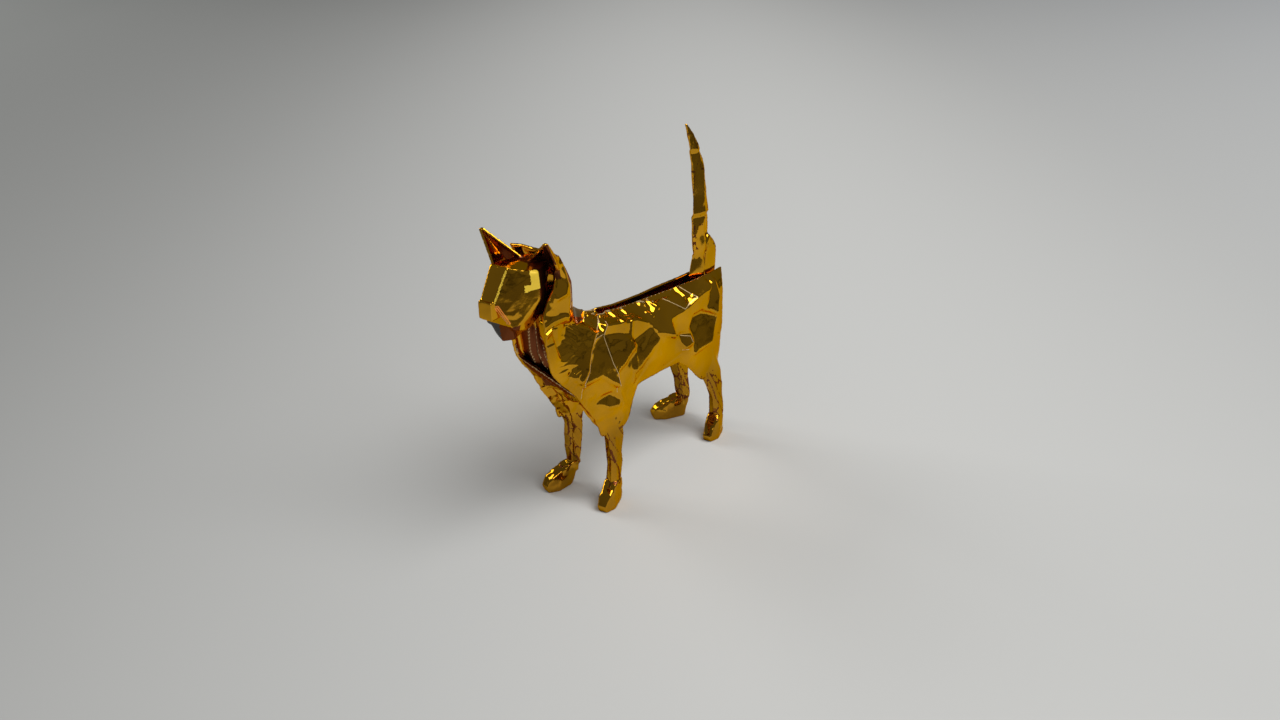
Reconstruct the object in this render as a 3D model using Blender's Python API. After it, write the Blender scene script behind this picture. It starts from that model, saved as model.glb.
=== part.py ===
"""A standing cat folded from one square of gold foil paper.

The whole cat is one folded sheet, so it is one solid. Its body is a trough of folded
layers, open along the back, with pleats across the chest, four wrapped legs, a boxed
head with cupped ears, and a narrow tail that stands up out of the open back.
The cat faces -Y, its left side is +X, and it stands on Z = 0.
"""

import math

import bmesh
import bpy
from mathutils import Matrix, Vector

MM = 0.001

# Paper
WALL = 0.55 * MM            # the folded layers of one wall, pressed together
EAR_WALL = 0.4 * MM         # two layers

# Body
BODY_LENGTH = 50.5 * MM     # chest to rump
BODY_WIDTH = 10.0 * MM      # across the flanks
BACK_HEIGHT = 34.4 * MM     # floor to the open edges in the middle of the back
BELLY_HEIGHT = 20.5 * MM    # floor to the belly
BACK_GAP = 2.5 * MM         # between the two open edges of the back, where it is widest
CHEST_SKEW = 1.8 * MM       # how far the chest's right edge lies behind its left edge
CHEST_RECESS = 2.2 * MM     # how far the pleats lie behind the chest's edges
DENT_DEPTH = 0.9 * MM       # of the deepest dent pressed into a flank
PLEAT_DEPTH = 0.9 * MM      # crest to valley of a chest pleat
CHEST_PLEATS = 5
RUMP_RECESS = 1.3 * MM      # how far the rump's crease lies inside the flanks' rear edges
BAND_RISE = 0.6 * MM        # from one layered fold low on the chest to the next

# Neck and head
SHOULDER_RISE = 4.9 * MM    # middle of the back to the top of the shoulders
NECK_HEIGHT = 10.6 * MM     # shoulders to the crown
NAPE_PLEAT = 2.6 * MM       # front to back, of a pleat at the neck's foot
HEAD_LENGTH = 10.1 * MM     # middle of the neck to the bridge of the nose
HEAD_WIDTH = 8.4 * MM
HEAD_HEIGHT = 11.5 * MM     # jaw to forehead
HEAD_TURN = math.radians(8)
NOSE_LENGTH = 0.5 * MM      # how far the nose stands out of the muzzle
NOSE_ROOT = 2.5 * MM        # how far it reaches into the muzzle
NOSE_WIDTH = 2.5 * MM
NOSE_HEIGHT = 2.9 * MM
EAR_HEIGHT = 5.0 * MM       # temple to the ear's tip
EAR_SPREAD = 11.2 * MM      # tip to tip
CROWN_RISE = 1.0 * MM       # how far the crown stands above the neck's folds

# Legs
STANCE = 30.3 * MM          # front ankles to hind ankles
TRACK = 10.0 * MM           # left legs to right legs
KNEE_HEIGHT = 14.6 * MM     # foot of the flank's folds, where the wrapped leg comes out
LEG_WIDTH = 3.3 * MM        # front to back, below the knee
LEG_THICKNESS = 2.1 * MM    # side to side
HIND_STEP = 1.8 * MM        # how far the right hind leg stands behind the left one
ANKLE_HEIGHT = 4.6 * MM
PAW_LENGTH = 5.4 * MM
RIGHT_HIND_PAW_LENGTH = 6.8 * MM
PAW_WIDTH = 3.2 * MM
FRONT_PAW_TURN = math.radians(12)
LEFT_HIND_PAW_TURN = math.radians(10)
RIGHT_HIND_PAW_TURN = math.radians(33)
PAW_HEIGHT = 2.7 * MM
TOE_ROUND = 0.9 * MM        # how far the top of the toe is folded back
LEFT_FRONT_STEP = 1.9 * MM  # how far a paw lies forward of its ankle
RIGHT_FRONT_STEP = 3.7 * MM
LEFT_HIND_STEP = 1.2 * MM
RIGHT_HIND_STEP = 3.0 * MM

# Tail
TAIL_LENGTH = 29.2 * MM     # above the rump
TAIL_WIDTH = 3.6 * MM       # front to back, half way up
TAIL_THICKNESS = 1.6 * MM
TAIL_LEAN = 5.4 * MM        # how far the tip leans forward of the root

GOLD = (0.90, 0.47, 0.03)

BODY_DEPTH = BACK_HEIGHT - BELLY_HEIGHT
SHOULDER_HEIGHT = BACK_HEIGHT + SHOULDER_RISE
HEAD_TOP = SHOULDER_HEIGHT + NECK_HEIGHT + CROWN_RISE
NECK_PLACE = 0.03           # the middle of the neck, as a share of the body's length
STANCE_PLACE = 0.597        # the middle of the stance
KNEE = (KNEE_HEIGHT - BELLY_HEIGHT) / BODY_DEPTH

# The flanks' outlines, as shares of the body's length and depth. The first value runs
# from chest to rump, or from the flank's foot to its open edge.
BACK_LINE = ((0, 1.34), (0.12, 1.21), (0.22, 1.12), (0.31, 1.06), (0.42, 0.985), (0.52, 0.955),
             (0.66, 0.93), (0.85, 0.90), (1, 0.90))
FLANK_FOOT = ((0, KNEE), (0.18, KNEE), (0.22, KNEE * 0.4), (0.27, 0.02), (0.62, -0.02), (0.70, -0.18),
              (0.80, KNEE * 1.1), (1, KNEE))
CHEST_EDGE = ((0, 0.236), (0.07, 0.226), (0.18, 0.198), (0.33, 0.145), (0.44, 0.111), (0.55, 0.059),
              (0.64, 0.016), (0.77, 0.0), (1, -0.014))
RUMP_EDGE = ((0, 0.93), (0.2, 0.950), (0.7, 0.956), (0.9, 0.972), (1, 0.998))

# How far each height of the chest's right edge takes part in its skew
CHEST_LEAN = ((0, 0), (0.3, 0.1), (0.75, 1.1), (1, 1.1))

# How wide the slot in the back is, from the neck to the tail
SLOT = ((0, 0.5), (0.3, 0.5), (0.42, 0.55), (0.6, 0.8), (0.78, 1.0), (0.92, 1.0), (1, 0.8))

# How wide the body is: from its open edge to its full width, and from chest to rump.
FLANK_CURVE = ((0, 1.0), (0.55, 1.0), (0.72, 0.92), (0.86, 0.68), (0.95, 0.32), (1, 0))
FULLNESS = ((0, 1.0), (0.15, 1.06), (0.28, 1.04), (0.55, 0.96), (0.82, 1.0), (0.92, 0.92), (1, 0.68))
BELLY_TUCK = ((0, 0), (0.2, 0), (0.3, 0.10), (0.65, 0.10), (0.76, 0.0), (1, 0))
SHOULDER_SPREAD = ((0, 1), (0.10, 0.92), (0.19, 0.50), (0.27, 0.06), (0.4, 0), (1, 0.06))

# Dents pressed into a flank: place along it, place up it, reach and share of the depth
DENTS = ((0.16, 0.70, 0.16, 0.8), (0.33, 0.42, 0.12, 0.7), (0.45, 0.66, 0.14, 0.9),
         (0.60, 0.30, 0.10, 0.6), (0.66, 0.62, 0.12, 0.8), (0.80, 0.52, 0.11, 1.0),
         (0.92, 0.30, 0.10, 0.6), (0.26, 0.86, 0.09, 0.7), (0.55, 0.86, 0.09, 0.6),
         (0.75, 0.84, 0.09, 0.7), (0.10, 0.34, 0.10, 0.6))


def along(outline, place):
    """The value of an outline of (place, value) points, in straight runs between them."""
    for (start, low), (end, high) in zip(outline, outline[1:]):
        if place <= end:
            return low + (high - low) * max(place - start, 0) / (end - start)
    return outline[-1][1]


def body_point(across, length, up):
    """A point by its shares of the body's half width, length and depth."""
    return Vector((across * BODY_WIDTH / 2, (length - 0.5) * BODY_LENGTH, BELLY_HEIGHT + up * BODY_DEPTH))


def head_point(across, forward, up):
    """A point by its shares of the head's half width, length and height."""
    turn = Matrix.Rotation(HEAD_TURN, 3, "Z")
    neck = body_point(0, NECK_PLACE, 0)
    neck.z = HEAD_TOP - HEAD_HEIGHT
    return neck + turn @ Vector((across * HEAD_WIDTH / 2, -forward * HEAD_LENGTH, up * HEAD_HEIGHT))


def new_piece(name, shape):
    """Turn a bmesh into an object."""
    bmesh.ops.recalc_face_normals(shape, faces=shape.faces)
    mesh = bpy.data.meshes.new(name)
    shape.to_mesh(mesh)
    shape.free()
    piece = bpy.data.objects.new(name, mesh)
    bpy.context.collection.objects.link(piece)
    return piece


def block(name, points):
    """A tight fold with flat facets: the hull around its corners."""
    shape = bmesh.new()
    for point in points:
        shape.verts.new(point)
    hull = bmesh.ops.convex_hull(shape, input=shape.verts)
    bmesh.ops.delete(shape, geom=hull["geom_interior"], context="VERTS")
    bmesh.ops.dissolve_limit(shape, angle_limit=math.radians(1), verts=shape.verts, edges=shape.edges)
    return new_piece(name, shape)


def sheet(name, place, columns, rows, thickness):
    """Folded layers: a grid set out by place(column share, row share), thickened both ways."""
    shape = bmesh.new()
    grid = bmesh.ops.create_grid(shape, x_segments=columns, y_segments=rows, size=0.5)
    for corner in grid["verts"]:
        corner.co = place(corner.co.x + 0.5, corner.co.y + 0.5)
    bmesh.ops.triangulate(shape, faces=shape.faces)
    piece = new_piece(name, shape)
    layers = piece.modifiers.new("Layers", "SOLIDIFY")
    layers.thickness = thickness
    layers.offset = 0
    return piece


def tube(name, rings):
    """A rolled fold: rings of corners joined one to the next, and closed at both ends."""
    shape = bmesh.new()
    loops = []
    for ring in rings:
        corners = [shape.verts.new(point) for point in ring]
        loops.append(corners)
    for lower, upper in zip(loops, loops[1:]):
        for i in range(len(lower)):
            j = (i + 1) % len(lower)
            shape.faces.new((lower[i], lower[j], upper[j], upper[i]))
    shape.faces.new(loops[0])
    shape.faces.new(loops[-1])
    bmesh.ops.triangulate(shape, faces=shape.faces)
    return new_piece(name, shape)


def flank_point(side, along_share, up_share):
    """A point of a flank, from the chest's edge to the rump's and from its foot to its open edge."""
    foot = along(FLANK_FOOT, along_share)
    up = foot + (along(BACK_LINE, along_share) - foot) * up_share
    front = along(CHEST_EDGE, up_share)
    if side < 0:
        front += CHEST_SKEW / BODY_LENGTH * along(CHEST_LEAN, up_share)
    length = front + (along(RUMP_EDGE, up_share) - front) * along_share

    narrow = BACK_GAP / BODY_WIDTH * along(SLOT, along_share)
    narrow += (1 - narrow) * along(SHOULDER_SPREAD, along_share)
    full = along(FULLNESS, along_share)
    across = narrow + (full - narrow) * along(FLANK_CURVE, up_share)
    across -= along(BELLY_TUCK, along_share) * max(0, 1 - up_share / 0.25)
    for dent_along, dent_up, reach, depth in DENTS:
        if side < 0:
            dent_along += 0.04
        distance = math.hypot(along_share - dent_along, (up_share - dent_up) * 0.5)
        across -= depth * DENT_DEPTH / (BODY_WIDTH / 2) * max(0, 1 - distance / reach)
    return body_point(side * across, length, up)


def flank(side):
    def place(a, b):
        return flank_point(side, a, b)
    return sheet("flank", place, 26, 12, WALL)


def belly():
    """Two flaps that meet in a raised crease under the body."""
    def place(a, b):
        across = 2 * a - 1
        crease = 0.05 * (1 - abs(across))
        return body_point(0.84 * across, 0.225 + 0.70 * b, 0.05 + crease)
    return sheet("belly", place, 4, 8, WALL)


def rump():
    """The panel that closes the rear, creased down its middle."""
    def place(a, b):
        edge = flank_point(1, 0.985, 0.12 + 0.80 * b)
        across = 2 * a - 1
        fold = RUMP_RECESS * (1 - abs(across))
        return Vector((edge.x * across, edge.y - fold, edge.z))
    return sheet("rump", place, 4, 8, WALL)


def chest():
    """Pleats that fan out from under the chin to the two edges of the chest."""
    folds = 2 * CHEST_PLEATS

    def place(a, b):
        fold = round(a * folds)
        spread = a
        if 0 < fold < folds:
            spread = 0.5 + (a - 0.5) * (1.0 - 0.55 * b)
        up = 0.16 + 0.86 * b
        spot = flank_point(-1, 0.04, up).lerp(flank_point(1, 0.04, up), spread)
        inward = math.sin(math.pi * a)
        crest = PLEAT_DEPTH * (fold % 2)
        spot.y += CHEST_RECESS * inward - crest * min(1, 1.6 * inward)
        return spot
    return sheet("chest", place, folds, 8, WALL)


def chest_bands():
    """Layered folds that cross low on the chest, from its right edge to the left leg."""
    bands = []
    for step in range(3):
        def place(a, b, step=step):
            right = flank_point(-1, 0.01, 0.56 - 0.11 * step + 0.10 * b)
            left = flank_point(1, 0.04, 0.17 + 0.05 * step + 0.09 * b)
            spot = right.lerp(left, a)
            spot.y += (0.3 + step) * BAND_RISE * math.sin(math.pi * a)
            return spot
        bands.append(sheet("band", place, 5, 2, WALL))
    return bands


def collar():
    """The neck: one sheet wrapped around the back of the head, open to the front."""
    # Shares of the half width, the body's length and the neck's height, from its foot up
    rim = ((1.0, -0.012, -0.02), (0.98, -0.012, 0.19), (0.93, 0.010, 0.36), (0.91, 0.040, 0.52),
           (0.91, 0.058, 0.70), (0.91, 0.058, 0.88), (0.94, 0.045, 1.02))
    side = ((0.84, 0.090, -0.40), (0.97, 0.095, 0.03), (0.97, 0.105, 0.30), (0.93, 0.106, 0.50),
            (0.89, 0.100, 0.68), (0.85, 0.090, 0.85), (0.80, 0.078, 0.98))
    back = ((0.38, 0.190, -0.50), (0.60, 0.150, -0.04), (0.60, 0.150, 0.24), (0.56, 0.152, 0.45),
            (0.52, 0.136, 0.64), (0.50, 0.118, 0.80), (0.46, 0.100, 0.92))
    nape = ((0.0, 0.245, -0.36), (0.0, 0.192, 0.02), (0.0, 0.178, 0.27), (0.0, 0.172, 0.47),
            (0.0, 0.154, 0.66), (0.0, 0.134, 0.80), (0.0, 0.116, 0.90))
    half = (rim, side, back, nape)

    def place(a, b):
        column = round(a * 6)
        row = round(b * 6)
        line = half[min(column, 6 - column)]
        across, length, up = line[row]
        if column > 3:
            across = -across
            length += CHEST_SKEW / BODY_LENGTH * max(0, 1 - row / 3) * (column / 6)
        spot = body_point(across, length, 0)
        spot.z = SHOULDER_HEIGHT + up * NECK_HEIGHT
        return spot
    return sheet("collar", place, 6, 6, WALL)


def nape():
    """Small crumpled pleats that close the back between the neck's foot and the slot."""
    pleats = []
    half = NAPE_PLEAT / BODY_LENGTH / 2
    # Place along the body, half width, the foot and crest as shares of its depth, and slant
    for length, wide, foot, crest, slant in ((0.222, 0.64, 1.0, 1.26, 0.3), (0.262, 0.48, 0.97, 1.18, -0.4),
                                             (0.305, 0.34, 0.93, 1.13, 0.5)):
        corners = []
        for side in (-1, 1):
            corners.append(body_point(side * wide, length - half, foot))
            corners.append(body_point(side * wide, length + half, foot))
            corners.append(body_point(side * wide * 0.6, length + side * slant * half, crest - 0.03 * side))
        pleats.append(block("nape pleat", corners))
    return pleats


def head():
    """A box with a narrow sloping front, flat cheeks and a muzzle that is cut back below."""
    corners = []
    for side in (-1, 1):
        corners += [
            head_point(side * 0.38, 0.68, 0.93),    # forehead
            head_point(side * 0.27, 1.0, 0.55),     # bridge of the nose
            head_point(side * 0.93, 0.26, 0.79),    # temple
            head_point(side * 1.0, 0.25, 0.43),     # cheek
            head_point(side * 0.67, 0.43, 0.0),     # jaw
            head_point(side * 0.62, 0.71, 0.08),    # corner of the mouth
            head_point(side * 0.42, -0.30, 0.80),   # back of the head
            head_point(side * 0.36, -0.22, 0.08),
        ]
    return block("head", corners)


def nose():
    corners = []
    for side in (-1, 1):
        for forward in (-NOSE_ROOT, NOSE_LENGTH):
            for drop in (0, NOSE_HEIGHT):
                corner = head_point(side * NOSE_WIDTH / HEAD_WIDTH, 1 + forward / HEAD_LENGTH, 0.55)
                corner.z -= drop
                corners.append(corner)
    return block("nose", corners)


def chin():
    """The end of the flap, folded back under the jaw, where the paper's grey side shows."""
    corners = [
        head_point(-0.40, 0.62, -0.10),
        head_point(0.40, 0.62, -0.10),
        head_point(0.0, 0.70, -0.13),
        head_point(-0.50, 0.74, 0.16),
        head_point(0.50, 0.74, 0.16),
        head_point(-0.40, 0.20, -0.02),
        head_point(0.40, 0.20, -0.02),
    ]
    return block("chin", corners)


def ear(side, tip, base):
    """A cup of two layers, open to the front, drawn up to a tip from the folds at its foot."""
    def place(a, b):
        across, forward, up = base[round(a * (len(base) - 1))]
        foot = head_point(side * across, forward, up)
        across, forward, up = tip
        point = head_point(side * across * EAR_SPREAD / HEAD_WIDTH, forward, up)
        point.z += EAR_HEIGHT
        return point.lerp(foot, 0.05 + 0.95 * (1 - b))
    return sheet("ear", place, len(base) - 1, 3, EAR_WALL)


def left_ear():
    """The left ear's outer edge runs on down the neck."""
    base = ((0.12, 0.12, 0.80), (0.38, -0.10, 0.80), (0.74, -0.22, 0.80), (1.06, -0.20, 0.80),
            (1.20, -0.08, 0.74))
    return ear(1, (0.90, 0.19, 0.76), base)


def right_ear():
    """The right ear's outer edge comes down to the temple."""
    base = ((0.88, 0.36, 0.76), (1.12, 0.17, 0.72), (0.98, 0.0, 0.74), (0.50, -0.06, 0.78),
            (-0.04, 0.02, 0.80))
    return ear(-1, (1.12, 0.33, 0.84), base)


def leg_ring(centre, up, width, thickness, turn):
    """Six corners of a wrapped leg, its overlap standing proud at the outer rear."""
    outline = ((-0.5, 0.10), (-0.30, -0.5), (0.28, -0.5), (0.5, -0.05), (0.30, 0.5), (-0.26, 0.42))
    ring = []
    for forward, out in outline:
        offset = Matrix.Rotation(turn, 3, "Z") @ Vector((out * thickness, forward * width, 0))
        ring.append(Vector((centre.x, centre.y, up)) + offset)
    return ring


def leg(side, ankle, steps):
    """A wrapped leg, in steps of height, shares of the leg's width and thickness, how far the
    step lies behind and inside the ankle as shares of the same two, and turn."""
    rings = []
    for up, width, thickness, behind, inside, turn in steps:
        centre = ankle + Vector((-side * inside * LEG_THICKNESS, behind * LEG_WIDTH, 0))
        rings.append(leg_ring(centre, up, width * LEG_WIDTH, side * thickness * LEG_THICKNESS, side * turn))
    return tube("leg", rings)


def front_leg(side):
    ankle = body_point(0, STANCE_PLACE, 0)
    ankle += Vector((side * TRACK / 2, -STANCE / 2, 0))
    shoulder = BELLY_HEIGHT - KNEE_HEIGHT
    steps = (
        (KNEE_HEIGHT + 1.4 * shoulder, 3.0, 0.5, -0.97, 0.43, 0.0),
        (KNEE_HEIGHT + 0.7 * shoulder, 2.5, 0.8, -0.39, 0.33, 0.0),
        (KNEE_HEIGHT + 0.2 * shoulder, 1.8, 1.0, 0.0, 0.24, 0.05),
        (KNEE_HEIGHT * 0.90, 1.2, 1.0, 0.09, 0.05, 0.15),
        (KNEE_HEIGHT * 0.60, 1.0, 1.0, 0.06, 0.0, 0.2),
        (ANKLE_HEIGHT, 0.80, 0.92, 0.0, 0.0, 0.25),
        (ANKLE_HEIGHT * 0.55, 0.76, 0.92, -0.06, 0.0, 0.25),
    )
    forward = LEFT_FRONT_STEP if side > 0 else RIGHT_FRONT_STEP
    return [leg(side, ankle, steps), paw(side, ankle, forward, PAW_LENGTH, FRONT_PAW_TURN)]


def hind_leg(side):
    ankle = body_point(0, STANCE_PLACE, 0)
    ankle += Vector((side * TRACK / 2, STANCE / 2, 0))
    paw_length, forward, turn = PAW_LENGTH, LEFT_HIND_STEP, LEFT_HIND_PAW_TURN
    if side < 0:
        ankle.y += HIND_STEP
        paw_length, forward, turn = RIGHT_HIND_PAW_LENGTH, RIGHT_HIND_STEP, RIGHT_HIND_PAW_TURN
    haunch = BELLY_HEIGHT - KNEE_HEIGHT
    steps = (
        (KNEE_HEIGHT + 1.2 * haunch, 2.4, 0.5, -1.33, 0.62, 0.0),
        (KNEE_HEIGHT + 0.6 * haunch, 2.2, 0.8, -0.97, 0.48, 0.0),
        (KNEE_HEIGHT, 1.95, 1.0, -0.56, 0.24, 0.0),
        (KNEE_HEIGHT * 0.80, 1.5, 1.0, -0.26, 0.05, 0.1),
        (KNEE_HEIGHT * 0.60, 1.0, 1.0, -0.09, 0.0, 0.15),
        (ANKLE_HEIGHT, 0.85, 1.0, 0.09, 0.0, 0.2),
        (ANKLE_HEIGHT * 0.55, 0.80, 1.0, 0.0, 0.0, 0.2),
    )
    return [leg(side, ankle, steps), paw(side, ankle, forward, paw_length, turn)]


def paw(side, ankle, forward, length, turn):
    """The end of the leg, folded forward into a blunt toe with a flat sole."""
    half = PAW_WIDTH / 2
    heel = ankle.y + length / 2 - forward
    toe = heel - length
    corners = []
    for across in (-half, half):
        corners += [
            Vector((across * 0.55, toe + TOE_ROUND * 0.45, 0)),
            Vector((across, toe + length * 0.42, 0)),
            Vector((across * 0.62, heel, 0)),
            Vector((across * 0.50, toe, PAW_HEIGHT * 0.45)),
            Vector((across * 0.62, toe + TOE_ROUND, PAW_HEIGHT)),
            Vector((across, toe + length * 0.45, PAW_HEIGHT * 0.5)),
            Vector((across * 0.70, ankle.y - LEG_WIDTH * 0.36, ANKLE_HEIGHT)),
            Vector((across * 0.60, ankle.y + LEG_WIDTH * 0.34, ANKLE_HEIGHT)),
        ]
    turned = Matrix.Rotation(turn * side, 3, "Z")
    middle = Vector((ankle.x, ankle.y, 0))
    return block("paw", [middle + turned @ (corner - Vector((0, ankle.y, 0))) for corner in corners])


def tail():
    """A flattened roll, widest above its root and drawn out to a point."""
    root = body_point(0, 0.90, 0.0)
    rump_height = BELLY_HEIGHT + BODY_DEPTH * 0.89
    steps = (
        # share of the length, width, thickness, share of the lean
        (-0.30, 1.60, 1.1, 0.16), (0.04, 1.60, 1.3, 0.14), (0.13, 1.20, 0.85, 0.13),
        (0.18, 1.25, 1.2, 0.10), (0.30, 1.32, 1.1, 0.12), (0.39, 1.26, 1.15, 0.15),
        (0.55, 1.12, 1.15, 0.22), (0.70, 0.98, 1.1, 0.30), (0.745, 0.86, 1.05, 0.36),
        (0.91, 0.50, 0.75, 0.70), (1.0, 0.08, 0.25, 0.97),
    )
    rings = []
    for up, width, thickness, lean in steps:
        ring = []
        for forward, out in ((-0.5, 0.08), (-0.1, -0.5), (0.42, -0.36), (0.5, 0.12), (0.12, 0.5)):
            ring.append(Vector((
                out * thickness * TAIL_THICKNESS,
                root.y - lean * TAIL_LEAN + forward * width * TAIL_WIDTH,
                rump_height + up * TAIL_LENGTH,
            )))
        rings.append(ring)
    return tube("tail", rings)


def tail_pleat():
    """The flap left at the root of the tail, with a slanted upper edge."""
    rump_height = BELLY_HEIGHT + BODY_DEPTH * 0.89
    corners = []
    for across in (-0.55, 0.55):
        for length, up in ((0.905, -0.16), (0.975, -0.16), (0.975, 0.15), (0.962, 0.20),
                           (0.925, 0.27), (0.91, 0.23)):
            spot = body_point(0, length, 0)
            spot.x = across * TAIL_THICKNESS
            spot.z = rump_height + up * TAIL_LENGTH
            corners.append(spot)
    return block("tail pleat", corners)


def foil():
    """Gold foil paper."""
    material = bpy.data.materials.new("gold foil paper")
    material.use_nodes = True
    shader = material.node_tree.nodes["Principled BSDF"]
    shader.inputs["Base Color"].default_value = (*GOLD, 1)
    shader.inputs["Metallic"].default_value = 1
    shader.inputs["Roughness"].default_value = 0.2
    material.diffuse_color = (*GOLD, 1)
    return material


def join_folds(name, pieces):
    """Join the folds into one solid and stand it on the floor, centred."""
    whole = pieces[0]
    whole.name = name
    for piece in pieces[1:]:
        join = whole.modifiers.new("Join", "BOOLEAN")
        join.operation = "UNION"
        join.solver = "EXACT"
        join.object = piece
    bpy.context.view_layer.update()
    graph = bpy.context.evaluated_depsgraph_get()
    mesh = bpy.data.meshes.new_from_object(whole.evaluated_get(graph))
    whole.modifiers.clear()
    whole.data = mesh
    for piece in pieces[1:]:
        bpy.data.objects.remove(piece)

    corners = [corner.co for corner in mesh.vertices]
    middle_x = (min(c.x for c in corners) + max(c.x for c in corners)) / 2
    middle_y = (min(c.y for c in corners) + max(c.y for c in corners)) / 2
    floor = min(c.z for c in corners)
    mesh.transform(Matrix.Translation((-middle_x, -middle_y, -floor)))
    return whole


def main():
    for old in list(bpy.data.objects):
        bpy.data.objects.remove(old)

    pieces = [flank(1), flank(-1), belly(), rump(), chest(), *chest_bands(), collar(), *nape(), head(),
              nose(), chin(), left_ear(), right_ear(), tail(), tail_pleat()]
    for side in (1, -1):
        pieces += front_leg(side)
        pieces += hind_leg(side)
    cat = join_folds("folded_sheet", pieces)
    cat.data.materials.append(foil())


main()
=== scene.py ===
"""A standing cat folded from one square of gold foil paper, on a pale sheet."""

import math

import bmesh
import bpy
from mathutils import Matrix, Vector, noise
from mathutils.bvhtree import BVHTree


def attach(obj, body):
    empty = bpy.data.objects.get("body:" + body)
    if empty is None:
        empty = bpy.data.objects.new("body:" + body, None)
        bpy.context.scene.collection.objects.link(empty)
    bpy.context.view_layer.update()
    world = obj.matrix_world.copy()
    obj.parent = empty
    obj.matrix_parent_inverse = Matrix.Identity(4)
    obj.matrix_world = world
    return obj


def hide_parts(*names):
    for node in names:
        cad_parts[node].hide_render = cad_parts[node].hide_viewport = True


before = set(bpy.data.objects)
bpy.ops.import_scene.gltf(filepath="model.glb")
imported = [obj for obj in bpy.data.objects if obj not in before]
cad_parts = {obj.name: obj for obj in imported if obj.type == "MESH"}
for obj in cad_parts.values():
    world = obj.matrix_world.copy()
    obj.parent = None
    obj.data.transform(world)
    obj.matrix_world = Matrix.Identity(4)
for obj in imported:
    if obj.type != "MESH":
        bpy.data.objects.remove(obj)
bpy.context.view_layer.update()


# Folded sheet
# The whole cat is one square of foil paper, folded and pressed by hand. Its folds are taken as
# they were built, and cut fine enough to press, finest on the left of the head and body.
MM = 0.001
fine_wall_top = 0.29 * MM
fine_face = 0.26 * MM
fine_flank = 0.45 * MM
fine_limbs = 0.50 * MM
coarse = 1.0 * MM
cut_rounds = 7

foil = bmesh.new()
foil.from_mesh(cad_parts["folded_sheet"].data)
bmesh.ops.remove_doubles(foil, verts=foil.verts, dist=0.001 * MM)


def finest(edge):
    """The longest edge that is left whole. Places are mm left, back and up."""
    x, y, z = (edge.verts[0].co + edge.verts[1].co) / (2 * MM)
    outer = any(face.normal.x > 0.2 for face in edge.link_faces)
    if outer and x > 1.2 and y < 20 and 29 < z < 41:
        return fine_wall_top
    if x > 2 and y < -24 and z > 41:
        return fine_face
    if outer and x > 2.2 and z > 19:
        return fine_flank
    if z > 41 or z < 16 or (-3.5 < x < 3 and y < -9):
        return fine_limbs
    return coarse


for cut_round in range(cut_rounds):
    foil.normal_update()
    long_edges = [edge for edge in foil.edges if edge.calc_length() > finest(edge)]
    bmesh.ops.subdivide_edges(foil, edges=long_edges, cuts=1)
    bmesh.ops.triangulate(foil, faces=foil.faces)


def rub(verts, times):
    """Soften the folds a little, as rubbing with a finger does."""
    for stroke in range(times):
        bmesh.ops.smooth_vert(foil, verts=verts, factor=0.4, use_axis_x=True, use_axis_y=True,
                              use_axis_z=True)


def within(place, low, high):
    """Whether a place lies inside a box, given by two of its corners in mm."""
    return all(least < value < most for least, value, most in zip(low, place, high))


rub(foil.verts, 2)
nape = [corner for corner in foil.verts
        if within(corner.co / MM, (-3.5, -13, 34), (2.6, -3, 39.5))]
rub(nape, 30)


# Pale creases
# Lines where the sheet was folded and opened again before the cat was made. The foil has
# cracked along them. Each is a run of places on the left flank, as mm back and mm up.
pale_creases = [
    [(-5.5, 35.0), (-8.2, 33.3), (-10.0, 31.2), (-11.5, 28.2), (-13.1, 26.7), (-13.8, 24.4)],
    [(-8.9, 32.7), (-6.7, 32.9)],
    [(-5.1, 34.4), (-6.6, 32.4), (-6.0, 28.0), (-5.2, 25.5), (-5.2, 22.0)],
    [(16.5, 33.2), (18.7, 31.2), (15.0, 30.1), (10.8, 33.0)],
    [(13.4, 25.5), (15.9, 24.6), (16.0, 23.5)],
    [(13.6, 22.6), (15.2, 22.2)],
]
left_wall = 2.0
half_line = 0.06
beside_line = 0.6
beyond_end = 0.7


def run_distance(y, z, run):
    """How far a place on the flank is from a run of places, in mm."""
    nearest = 100.0
    for (y0, z0), (y1, z1) in zip(run, run[1:]):
        span_y = y1 - y0
        span_z = z1 - z0
        share = ((y - y0) * span_y + (z - z0) * span_z) / (span_y ** 2 + span_z ** 2)
        share = max(0.0, min(1.0, share))
        nearest = min(nearest, math.hypot(y - y0 - share * span_y, z - z0 - share * span_z))
    return nearest


def cut_line(line_start, line_end):
    """Cut the left wall along both sides of a thin straight line."""
    start = Vector((0, *line_start)) * MM
    end = Vector((0, *line_end)) * MM
    across = Vector((0, end.z - start.z, start.y - end.y)).normalized()
    near_line = []
    for face in foil.faces:
        corner = face.verts[0].co
        if corner.x > left_wall * MM and abs((corner - start).dot(across)) < beside_line * MM:
            if run_distance(corner.y / MM, corner.z / MM, [line_start, line_end]) < beyond_end:
                near_line.append(face)
    for offset in (-half_line * MM, half_line * MM):
        edges = {edge for face in near_line for edge in face.edges}
        corners = {corner for face in near_line for corner in face.verts}
        cut = bmesh.ops.bisect_plane(foil, geom=near_line + list(edges) + list(corners),
                                     dist=0.001 * MM, plane_co=start + across * offset,
                                     plane_no=across)
        near_line = [part for part in cut["geom"] if isinstance(part, bmesh.types.BMFace)]


for run in pale_creases:
    for line_start, line_end in zip(run, run[1:]):
        cut_line(line_start, line_end)
bmesh.ops.triangulate(foil, faces=foil.faces)


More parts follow.
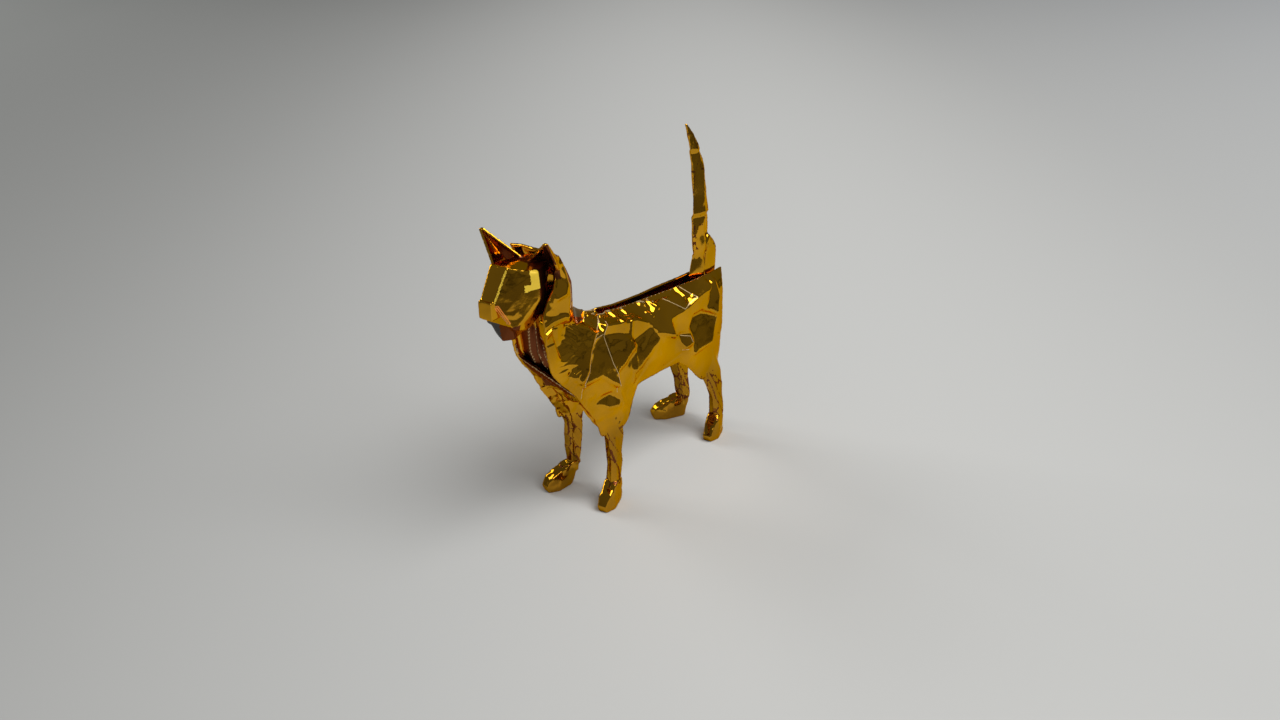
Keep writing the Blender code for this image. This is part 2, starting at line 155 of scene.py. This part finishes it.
# Pressed flank
# Fingers pressed the left flank and neck into patches that lean up or down a little, so each
# mirrors something else. A patch is its outline, as mm back and mm up, and its lean up.
patches = [
    ([(-19.0, 38.3), (-16.6, 38.3), (-10.0, 35.0), (-8.2, 33.3), (-10.0, 31.2), (-11.5, 28.2),
      (-13.1, 26.7), (-15.4, 29.0), (-14.6, 30.5), (-17.2, 33.1), (-18.0, 35.4)], 16),
    ([(-8.2, 33.3), (-6.4, 32.7), (-6.0, 28.0), (-5.2, 25.5), (-5.2, 23.6), (-9.0, 26.7),
      (-13.1, 26.7), (-11.5, 28.2), (-10.0, 31.2)], 15),
    ([(-6.4, 32.7), (-1.1, 30.4), (-0.2, 28.3), (-2.5, 26.9), (-5.2, 25.9), (-6.0, 28.0)], 17),
    ([(-5.7, 34.0), (-0.1, 32.6), (2.0, 32.4), (6.5, 29.8), (1.5, 29.0), (0.1, 30.6),
      (-6.1, 33.0)], 4),
    ([(6.8, 29.4), (6.2, 27.4), (4.4, 26.1), (1.7, 24.6), (0.2, 24.2), (0.5, 26.6), (1.6, 28.5),
      (4.1, 29.2)], 17),
    ([(5.9, 30.6), (7.3, 28.6), (11.8, 26.3), (11.2, 29.3), (15.2, 29.7), (16.0, 32.0),
      (8.0, 32.5)], 23),
    ([(11.8, 26.3), (11.4, 29.2), (15.1, 29.6), (18.8, 30.9), (23.1, 32.2), (23.6, 30.6),
      (22.1, 28.3), (16.7, 27.4), (15.7, 25.3)], 4),
    ([(20.0, 27.7), (23.6, 25.8), (23.3, 23.3), (22.1, 21.4), (17.0, 21.1), (17.4, 23.7),
      (16.5, 26.0), (17.8, 27.6)], 18),
    ([(24.6, 31.8), (25.3, 31.9), (25.4, 29.1), (24.1, 26.6), (22.1, 28.3), (23.1, 30.5)], 20),
    ([(-9.6, 21.6), (-8.1, 22.0), (-6.5, 21.9), (-4.6, 20.2), (-4.8, 19.4), (-7.0, 20.0)], 20),
    ([(-17.3, 47.2), (-15.9, 44.9), (-16.3, 43.8), (-18.0, 43.6), (-18.1, 44.4),
      (-17.5, 45.8)], 20),
    ([(13.4, 25.5), (15.9, 24.6), (16.0, 23.5), (14.2, 23.2)], 28),
]
patch_border = 0.9
deepest_press = 1.0
well_outside = 20
skin = BVHTree.FromBMesh(foil)


def wall_at(y, z):
    """Where the outer face of the left wall stands, in mm, or None."""
    place = skin.ray_cast(Vector((well_outside, y, z)) * MM, Vector((-1, 0, 0)))[0]
    return place.x / MM if place else None


def ease(value, low, high):
    """From 0 at low to 1 at high, with soft ends."""
    share = max(0.0, min(1.0, (value - low) / (high - low)))
    return share * share * (3 - 2 * share)


def inside(y, z, outline):
    """Whether a place lies within an outline."""
    odd = False
    for (y0, z0), (y1, z1) in zip(outline, outline[1:] + outline[:1]):
        if (z0 > z) != (z1 > z) and y < y0 + (z - z0) / (z1 - z0) * (y1 - y0):
            odd = not odd
    return odd


middles = []
for outline, lean in patches:
    middle_y = sum(place[0] for place in outline) / len(outline)
    middle_z = sum(place[1] for place in outline) / len(outline)
    middles.append((middle_y, middle_z, wall_at(middle_y, middle_z)))


def patch_press(y, z):
    """How far the left wall moves sideways at a place, in mm."""
    wall = wall_at(y, z)
    press = 0.0
    if wall is None:
        return press
    for (outline, lean), (y0, z0, wall0) in zip(patches, middles):
        reach = 0.0 if inside(y, z, outline) else run_distance(y, z, outline + outline[:1])
        weight = 1 - ease(reach, 0, patch_border)
        flat = wall0 - (z - z0) * math.tan(math.radians(lean))
        wanted = max(-deepest_press, min(deepest_press, flat - wall))
        press += (wanted - press) * weight
    return press


# Pinches and folds
# Small ridges. Fingers pinched the left wall's top edge all along, and short folds run over
# the flank and round the foot of the neck. Each is a run, its height and its half width.
ridges = [
    ([(-5.7, 35.8), (-6.7, 35.2)], 0.25, 0.3),
    ([(-4.9, 34.9), (-4.9, 34.5)], 0.20, 0.25),
    ([(-2.2, 34.7), (-1.2, 33.1)], 0.32, 0.4),
    ([(1.0, 34.0), (1.2, 33.6)], 0.18, 0.25),
    ([(5.4, 33.7), (6.5, 33.3)], 0.25, 0.3),
    ([(7.6, 33.3), (8.4, 32.3)], 0.28, 0.3),
    ([(5.6, 32.3), (6.7, 31.5)], 0.22, 0.25),
    ([(15.5, 33.3), (15.9, 32.0)], 0.30, 0.35),
    ([(18.7, 31.4), (18.5, 30.9)], 0.20, 0.25),
    ([(-21.4, 37.9), (-19.4, 38.6)], 0.60, 0.50),
    ([(-21.0, 39.6), (-19.0, 39.9), (-16.7, 39.8), (-13.5, 38.5)], 0.22, 0.5),
    ([(-21.0, 41.6), (-18.3, 40.6)], -0.12, 0.4),
    ([(-20.9, 36.7), (-18.9, 36.6)], -0.15, 0.3),
    ([(0.9, 32.6), (0.3, 30.5), (0.2, 26.7), (-0.2, 24.4), (-0.6, 22.1)], 0.14, 0.35),
    ([(-0.2, 21.5), (2.2, 23.1), (3.3, 24.4)], -0.14, 0.4),
    ([(8.3, 21.3), (13.4, 21.9)], -0.10, 0.3),
    ([(-13.4, 25.2), (-11.2, 25.5)], -0.10, 0.3),
    ([(-12.4, 23.7), (-10.5, 23.3)], 0.10, 0.3),
    ([(-4.4, 21.6), (-3.2, 18.6), (-4.2, 18.1)], 0.15, 0.4),
    ([(-10.0, 17.8), (-6.6, 17.7), (-4.2, 17.1)], -0.20, 0.4),
    ([(-5.4, 16.6), (-4.0, 17.2)], 0.28, 0.35),
    ([(-4.9, 15.6), (-3.6, 16.2)], 0.24, 0.30),
]
crease_height = 0.05
crease_half_width = 0.35
ridges += [(run, crease_height, crease_half_width) for run in pale_creases]
no_ridge = 3


def ridge_height(y, z):
    """How far the ridges lift the left wall at a place, in mm."""
    height = 0.0
    for run, peak, half_width in ridges:
        reach = run_distance(y, z, run) / half_width
        if reach < no_ridge:
            height += peak * math.exp(-reach * reach)
    return height


# Crumples
# The foil is dented and creased all over. The flanks and the rump are one thin wall, so both
# faces of it move together. The neck, head, legs and tail are pressed solid.
rolled_depth = 0.30
solid_depth = 0.04
noise.seed_set(8)


def facet_distances(place, size, seed):
    """How far a place is from the middles of the facets round it, nearest first."""
    spot = place / size + Vector((seed, seed * 1.7, seed * 0.6))
    spot += 0.35 * noise.noise_vector(spot * 0.6)
    return noise.voronoi(spot, distance_metric="MANHATTAN")[0]


def crumple(place, size, seed):
    """Flat facets that meet in straight creases, a little above or below 0."""
    return facet_distances(place, size, seed)[0] - 0.6


def rolled_place(place):
    """A place of a leg or the tail, squeezed so that the facets run along it, askew on a leg."""
    x, y, z = place
    if z > 30:
        return Vector((x / 2.5, y / 2.2, z / 7))
    if z < 4:
        return place / 2.4
    return Vector((x / 2.6, (y + 0.45 * z) / 2.2, z / 8))


def fan(y, z):
    """Fine wrinkles at the front of the shoulder, which all point to its middle."""
    radius = math.hypot(y + 8.5, z - 30)
    angle = math.atan2(z - 30, y + 8.5)
    ring = ease(radius, 4.5, 6.5) * (1 - ease(radius, 9.5, 12)) * ease(-y, 11, 14)
    wander = noise.noise(Vector((angle * 5, radius * 0.25, 4.2)))
    return ring * math.sin(34 * angle + 7 * wander)


def wall_dent(place):
    """How far a wall of the body is dented sideways, in mm. The right wall is more crumpled."""
    x, y, z = place
    if x > 0:
        flat_place = Vector((11.0, y, z))
        wave = 0.12 * noise.noise(flat_place / 3.5)
        return wave + 0.07 * crumple(flat_place, 2.4, 7.7) + 0.035 * fan(y, z)
    flat_place = Vector((-11.0, y, z))
    return -0.45 * crumple(flat_place, 5.5, 3.1) - 0.16 * crumple(flat_place, 2.6, 7.7)


# Tail crimps
# The tail is rolled foil, crimped twice where it was pinched to stand. Between two crimps its
# left side leans up, and at each it steps back.
crimps = (37.0, 44.6, 56.6, 64.0)
crimp_lean = 0.03
crimp_step = 0.45


def crimp(z):
    """How far the tail stands out to the left between two of its crimps, in mm."""
    for low, high in zip(crimps, crimps[1:]):
        if low <= z < high:
            return crimp_lean * min(high - z, (high - low) * (z - low) / crimp_step)
    return 0.0


# Pressing the foil
# Patches, ridges, dents and crimps are pressed into the foil in one go. The soles stay flat,
# because the cat stands on them.
def pressed(corner):
    """How far a corner of the foil moves, in mm."""
    place = corner.co / MM
    x, y, z = place
    on_body = ease(z, 13, 16) * (1 - ease(z, 38, 41)) * ease(y, -22, -18) * ease(abs(x), 0.6, 2.5)
    sideways = wall_dent(place) * on_body if on_body > 0 else 0.0
    upwards = 0.0
    if x > 1.5 and y > -23 and z > 15:
        top_edge = ease(z, 30, 33)
        height = ridge_height(y, z) * ease(x, 1.8, 2.6)
        sideways += patch_press(y, z) * ease(x, 2.2, 3.2) + height * (1 - 0.3 * top_edge)
        upwards = height * 0.7 * top_edge
    if y > 15:
        sideways += crimp(z)
    rolled = max(1 - ease(z, 14, 17), ease(z, 37, 40) * ease(y, 10, 14))
    small = rolled * rolled_depth * crumple(rolled_place(place), 1.0, 1.3)
    small += (1 - rolled) * solid_depth * crumple(place, 2.4, 1.3)
    small *= (1 - on_body) * ease(z, 0.1, 0.8)
    return Vector((sideways, 0, upwards)) + corner.normal * small


foil.normal_update()
moves = {corner: pressed(corner) * MM for corner in foil.verts}
for corner, move in moves.items():
    corner.co += move


# Gold foil
# The paper's face is bright metal foil, glued on. It is deep gold and nearly a mirror, with
# faint stains, and a little duller where fingers have rubbed it. Below the body it is painted
# darker, as painted shade on the legs.
dark_gold = (0.42, 0.20, 0.014, 1)
light_gold = (0.72, 0.35, 0.018, 1)
edge_gold = (0.95, 0.65, 0.20, 1)


def spots(tree, scale, detail):
    """Soft spots all over a surface."""
    coordinates = tree.nodes.new("ShaderNodeTexCoord")
    pattern = tree.nodes.new("ShaderNodeTexNoise")
    pattern.inputs["Scale"].default_value = scale
    pattern.inputs["Detail"].default_value = detail
    tree.links.new(coordinates.outputs["Object"], pattern.inputs["Vector"])
    return pattern.outputs["Fac"]


def stretched(tree, value, low, high, new_low, new_high):
    """A value whose range from low to high becomes new_low to new_high."""
    stretch = tree.nodes.new("ShaderNodeMapRange")
    stretch.inputs["From Min"].default_value = low
    stretch.inputs["From Max"].default_value = high
    stretch.inputs["To Min"].default_value = new_low
    stretch.inputs["To Max"].default_value = new_high
    tree.links.new(value, stretch.inputs["Value"])
    return stretch.outputs["Result"]


gold = bpy.data.materials.new("gold foil")
gold.use_nodes = True
tree = gold.node_tree
shader = tree.nodes["Principled BSDF"]
shader.inputs["Metallic"].default_value = 1.0
shader.inputs["Specular Tint"].default_value = edge_gold

coordinates = tree.nodes.new("ShaderNodeTexCoord")
height = tree.nodes.new("ShaderNodeSeparateXYZ")
tree.links.new(coordinates.outputs["Object"], height.inputs["Vector"])
# Painted shade: the gold is painted darker below the body, on the legs.
painted_leg_shade = stretched(tree, height.outputs["Z"], 13 * MM, 20 * MM, -0.38, 0.0)
stains_and_leg_shade = tree.nodes.new("ShaderNodeMath")
stains_and_leg_shade.operation = "ADD"
tree.links.new(spots(tree, 130.0, 1.0), stains_and_leg_shade.inputs[0])
tree.links.new(painted_leg_shade, stains_and_leg_shade.inputs[1])
tint = tree.nodes.new("ShaderNodeValToRGB")
tint.color_ramp.elements[0].position = 0.05
tint.color_ramp.elements[0].color = dark_gold
tint.color_ramp.elements[1].position = 0.62
tint.color_ramp.elements[1].color = light_gold
tree.links.new(stains_and_leg_shade.outputs["Value"], tint.inputs["Fac"])
tree.links.new(tint.outputs["Color"], shader.inputs["Base Color"])

rubbed = stretched(tree, spots(tree, 350.0, 3.0), 0.3, 0.8, 0.06, 0.16)
tree.links.new(rubbed, shader.inputs["Roughness"])

grain = tree.nodes.new("ShaderNodeBump")
grain.inputs["Strength"].default_value = 0.15
grain.inputs["Distance"].default_value = 0.05 * MM
tree.links.new(spots(tree, 1500.0, 2.0), grain.inputs["Height"])
tree.links.new(grain.outputs["Normal"], shader.inputs["Normal"])

foil_materials = [gold]


def flat_material(name, colour, metallic, roughness):
    """A plain material for stretches of the foil: their own colour, or painted light and shade.
    Returns the number that their faces carry.
    """
    paint = bpy.data.materials.new(name)
    paint.use_nodes = True
    shader = paint.node_tree.nodes["Principled BSDF"]
    shader.inputs["Base Color"].default_value = (*colour, 1)
    shader.inputs["Metallic"].default_value = metallic
    shader.inputs["Roughness"].default_value = roughness
    foil_materials.append(paint)
    return len(foil_materials) - 1


# Cracked lines
# Foil that was folded and opened again has cracked to pale paper. The rim of the left wall and
# the sharpest folds of the chest are worn in the same way.
cracked = flat_material("cracked foil", (0.80, 0.58, 0.28), 0.8, 0.5)
far_away = 99
rim_box = (0, -6, 31), (3.2, 25, far_away)
chest_folds = (-3.8, -18.5, 23), (3.5, -9, 36.5)
sharp_fold = math.radians(24)


def on_crease(place, normal):
    """Whether a place lies on a pale crease of the left flank."""
    x, y, z = place
    if x < left_wall or z < 20:
        return False
    return min(run_distance(y, z, run) for run in pale_creases) < half_line


def on_rim(place, normal):
    """Whether a place lies on the top rim of the left wall."""
    return within(place, *rim_box) and normal.z > 0.92


# Painted highlights on the face
# The rim of the left cheek, and the fold that runs over the brow and down beside the nose, are
# painted bright yellow gold, as painted highlights.
# Painted highlight: a bright yellow gold for the cheek's rim and the brow fold.
painted_highlight = flat_material("worn foil", (1.0, 0.68, 0.05), 0.2, 0.5)
cheek_rim = (4.6, -22.4, 45.9), (far_away, -20.9, 48.9)
cheek_foot = (4.6, -23.6, 45.9), (far_away, -22.4, 46.9)
face_box = (2.2, -far_away, 45), (far_away, -24.6, 50.4)
face_fold = [Vector((3.1, -25.2, 50.0)), Vector((3.6, -26.0, 49.6)), Vector((3.65, -28.6, 45.6))]
face_fold_half_width = 0.14


def on_painted_cheek_highlight(place, normal):
    """Whether a place lies on the painted highlight at the rim of the left cheek."""
    return within(place, *cheek_rim) or within(place, *cheek_foot)


def path_distance(place, path):
    """How far a place is from a path of straight lines, in mm."""
    nearest = 100.0
    for start, end in zip(path, path[1:]):
        line = end - start
        share = max(0.0, min(1.0, (place - start).dot(line) / line.length_squared))
        nearest = min(nearest, (place - start - line * share).length)
    return nearest


# Painted glint
# At the cheek's lower front edge, two orange lines are painted in, as a painted glint of the
# lamp mirrored between the folds.
# Painted glint: an orange colour for two lines along the edge.
painted_glint = flat_material("thin lit foil", (1.0, 0.30, 0.04), 0.2, 0.4)
glint_path = [Vector((3.75, -28.3, 44.7)), Vector((4.2, -26.7, 41.8))]


def on_painted_glint(place, normal):
    """Whether a place lies on one of the two lines along the edge."""
    if place.y > -26 or place.z > 45.2:
        return False
    reach = path_distance(place, glint_path)
    return reach < 0.12 or 0.22 < reach < 0.34


# Painted shade in deep folds
# Deep in the chest, the cupped ears and behind the head, foil mirrors only foil and goes dark
# red. This is painted in as a dark red foil, as painted shade, and so are the seams down the
# rolled legs and tail.
# Painted shade: a dark red foil for the deep folds and the seams.
painted_deep_shade = flat_material("deep foil", (0.17, 0.05, 0.018), 1.0, 0.35)
painted_shade_shader = foil_materials[painted_deep_shade].node_tree.nodes["Principled BSDF"]
painted_shade_shader.inputs["Specular Tint"].default_value = (0.8, 0.4, 0.2, 1)
chest = (-3.2, -18.5, 23), (3.5, -9, 36.5)
behind_head = (0, -21.2, 41), (5.5, -13, 49.5)
far_ear = (-far_away, -24.6, 48), (0, -18.5, far_away)
near_ear = (0, -24.6, 49), (far_away, -13, far_away)
leg_fold = 0.07
tail_fold = 0.03
seam_half_width = 0.22
leg_seams = [
    [(5.7, -6.9, 13.0), (6.7, -6.8, 10.3), (6.9, -5.3, 6.5), (7.0, -5.2, 4.4)],
    [(-3.4, -7.6, 14.6), (-3.6, -6.9, 12.4), (-3.2, -6.4, 8.0), (-2.8, -5.2, 4.2)],
]
leg_seams = [[Vector(place) for place in seam] for seam in leg_seams]


def between_facets(place, width):
    """Whether a place of a leg or the tail lies in the fold between two facets."""
    near = facet_distances(rolled_place(place), 1.0, 1.3)
    return near[1] - near[0] < width


def in_painted_deep_shade(place, normal):
    """Whether a place gets the painted dark red shade of the deep folds and seams."""
    if within(place, *chest) or within(place, *behind_head):
        return True
    if within(place, *far_ear) or within(place, *near_ear):
        if normal.y < -0.3 and normal.z < 0:
            return True
    if place.z > 38 and place.y > 15:
        return between_facets(place, tail_fold)
    if 4 < place.z < 15:
        seam = min(path_distance(place, seam) for seam in leg_seams)
        return seam < seam_half_width or between_facets(place, leg_fold)
    return False


# Nape
# Behind the neck the sheet dips to where the slot along the back begins. The left side of the
# dip is painted dark olive-brown, as painted shade.
# Painted shade: a dark olive-brown, not metal, for the dip.
shaded = flat_material("shaded fold", (0.10, 0.062, 0.016), 0.0, 0.6)
dip = (-3, -12.5, 35.6), (3, -8.6, 38.2)


def in_dip(place, normal):
    """Whether a place lies on the left side of the dip."""
    return within(place, *dip) and normal.x > 0.1


# Chin
# The chin is a corner of the sheet that is folded under the head. It shows the paper's grey
# reverse, painted very dark as painted shade under the head, and on its left side the painted
# dark red shade.
# Painted shade: the grey reverse is painted very dark, as under the head.
shaded_reverse = flat_material("grey reverse", (0.07, 0.06, 0.05), 0.0, 0.7)
under_head = (-far_away, -far_away, -far_away), (far_away, -24.8, 41)
chin_side = 2


def on_chin(place, normal):
    """Whether a place lies on the folded corner."""
    return within(place, *under_head) and place.x < chin_side


def beside_chin(place, normal):
    """Whether a place lies beside it, where the foil is painted dark red as painted shade."""
    return within(place, *under_head)


# Cat
# Each face of the foil gets the first material whose stretch it lies in, and is gold otherwise.
# The foil is then one finished piece.
stretches = [(on_crease, cracked), (on_painted_cheek_highlight, painted_highlight), (on_painted_glint, painted_glint), (on_rim, cracked),
             (in_painted_deep_shade, painted_deep_shade), (in_dip, shaded), (on_chin, shaded_reverse), (beside_chin, painted_deep_shade)]
crease_angle = math.radians(38)

foil.normal_update()
for face in foil.faces:
    face.smooth = True
    place = face.calc_center_median() / MM
    for lies_there, paint in stretches:
        if lies_there(place, face.normal):
            face.material_index = paint
            break

for edge in foil.edges:
    place = (edge.verts[0].co + edge.verts[1].co) / (2 * MM)
    if within(place, *chest_folds) and edge.calc_face_angle_signed(0) > sharp_fold:
        edge.link_faces[0].material_index = cracked
    # Painted highlight along the fold over the brow and beside the nose.
    if within(place, *face_box) and path_distance(place, face_fold) < face_fold_half_width:
        edge.link_faces[0].material_index = painted_highlight

sheet = bpy.data.meshes.new("folded_foil")
foil.to_mesh(sheet)
foil.free()
sheet.set_sharp_from_angle(angle=crease_angle)
for paint in foil_materials:
    sheet.materials.append(paint)
cat = bpy.data.objects.new("folded_foil", sheet)
bpy.context.collection.objects.link(cat)
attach(cat, "root")
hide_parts("folded_sheet")


# Pale sheet
# The cat stands on a big sheet of pale card. Its colour is painted from dark on the left to
# light on the right, as painted light and shade. It ends just outside the right of the picture,
# and where the foil mirrors what is beyond that edge, it goes dark.
sheet_edge = 118 * MM
sheet_reach = 3.0
sheet_turn = math.radians(11.1)
picture_right = (0.766, 0.643, 0)
painted_light_greys = ((0.26, 0.28), (0.44, 0.77), (0.60, 0.42))


def flat_ground(name, right, far, height):
    """A level rectangle that ends at right on one side and at far on the other three."""
    ground = bmesh.new()
    bmesh.ops.create_grid(ground, x_segments=1, y_segments=1, size=far)
    for corner in ground.verts:
        corner.co.x = min(corner.co.x, right)
        corner.co.z = height
    bmesh.ops.rotate(ground, verts=ground.verts, matrix=Matrix.Rotation(sheet_turn, 3, "Z"))
    mesh = bpy.data.meshes.new(name)
    ground.to_mesh(mesh)
    ground.free()
    thing = bpy.data.objects.new(name, mesh)
    bpy.context.collection.objects.link(thing)
    return thing


def matt(name, colour):
    """A dull plain surface."""
    surface = bpy.data.materials.new(name)
    surface.use_nodes = True
    shader = surface.node_tree.nodes["Principled BSDF"]
    shader.inputs["Base Color"].default_value = (*colour, 1)
    shader.inputs["Roughness"].default_value = 0.9
    shader.inputs["Specular IOR Level"].default_value = 0.1
    return surface


card = flat_ground("pale_sheet", sheet_edge, sheet_reach, 0.0)
pale = matt("pale card", (0.5, 0.5, 0.5))
card.data.materials.append(pale)

tree = pale.node_tree
coordinates = tree.nodes.new("ShaderNodeTexCoord")
to_right = tree.nodes.new("ShaderNodeVectorMath")
to_right.operation = "DOT_PRODUCT"
to_right.inputs[1].default_value = picture_right
tree.links.new(coordinates.outputs["Object"], to_right.inputs[0])
# Painted light and shade: the card's grey runs from dark on the left to light on the right.
painted_light_tone = tree.nodes.new("ShaderNodeValToRGB")
painted_light_tone.color_ramp.interpolation = "B_SPLINE"
painted_light_tone.color_ramp.elements[0].position = 0.06
painted_light_tone.color_ramp.elements[0].color = (0.24, 0.245, 0.235, 1)
painted_light_tone.color_ramp.elements[1].position = 1.0
painted_light_tone.color_ramp.elements[1].color = (0.78, 0.80, 0.82, 1)
for position, grey in painted_light_greys:
    painted_light_tone.color_ramp.elements.new(position).color = (grey, grey, grey * 0.97, 1)
across_card = stretched(tree, to_right.outputs["Value"], -0.4, 0.6, 0.0, 1.0)
tree.links.new(across_card, painted_light_tone.inputs["Fac"])
tree.links.new(painted_light_tone.outputs["Color"], tree.nodes["Principled BSDF"].inputs["Base Color"])


# Table
# A dark table under the sheet, just below it. It shows only in what the foil mirrors and in
# the views from behind.
table_reach = 3.5
table = flat_ground("table", table_reach, table_reach, -0.5 * MM)
table.data.materials.append(matt("dark table", (0.10, 0.10, 0.10)))


# Light
# A dim room, one broad soft lamp above the right of the picture, and a weaker one on the left.
# Both face the cat.
room = bpy.data.worlds.new("room")
room.use_nodes = True
room.node_tree.nodes["Background"].inputs["Color"].default_value = (0.96, 0.98, 1.0, 1)
room.node_tree.nodes["Background"].inputs["Strength"].default_value = 0.14
bpy.context.scene.world = room


def soft_lamp(name, place, size, watts):
    """A square soft lamp that faces the cat."""
    lamp = bpy.data.lights.new(name, "AREA")
    lamp.shape = "SQUARE"
    lamp.size = size
    lamp.energy = watts
    holder = bpy.data.objects.new(name, lamp)
    holder.location = place
    holder.rotation_euler = (-Vector(place)).to_track_quat("-Z", "Y").to_euler()
    bpy.context.collection.objects.link(holder)


soft_lamp("broad_lamp", (0.62, 0.09, 0.95), 0.85, 11.5)
soft_lamp("left_lamp", (-0.90, -0.12, 0.45), 0.50, 3.5)


# Camera
# To the left of the cat's front, about a hand's length away and looking down at it. The lens is
# a short one.
eye_place = Vector((109.85, -122.22, 107.6)) * MM
looks_at = Vector((-0.65, 9.48, 20.0)) * MM
eye = bpy.data.cameras.new("camera")
eye.sensor_width = 36.0
eye.lens = 29.53
eye.clip_start = 0.01
camera = bpy.data.objects.new("camera", eye)
camera.location = eye_place
camera.rotation_euler = (looks_at - eye_place).to_track_quat("-Z", "Y").to_euler()
bpy.context.collection.objects.link(camera)
bpy.context.scene.camera = camera

bpy.context.scene.view_settings.view_transform = "Standard"
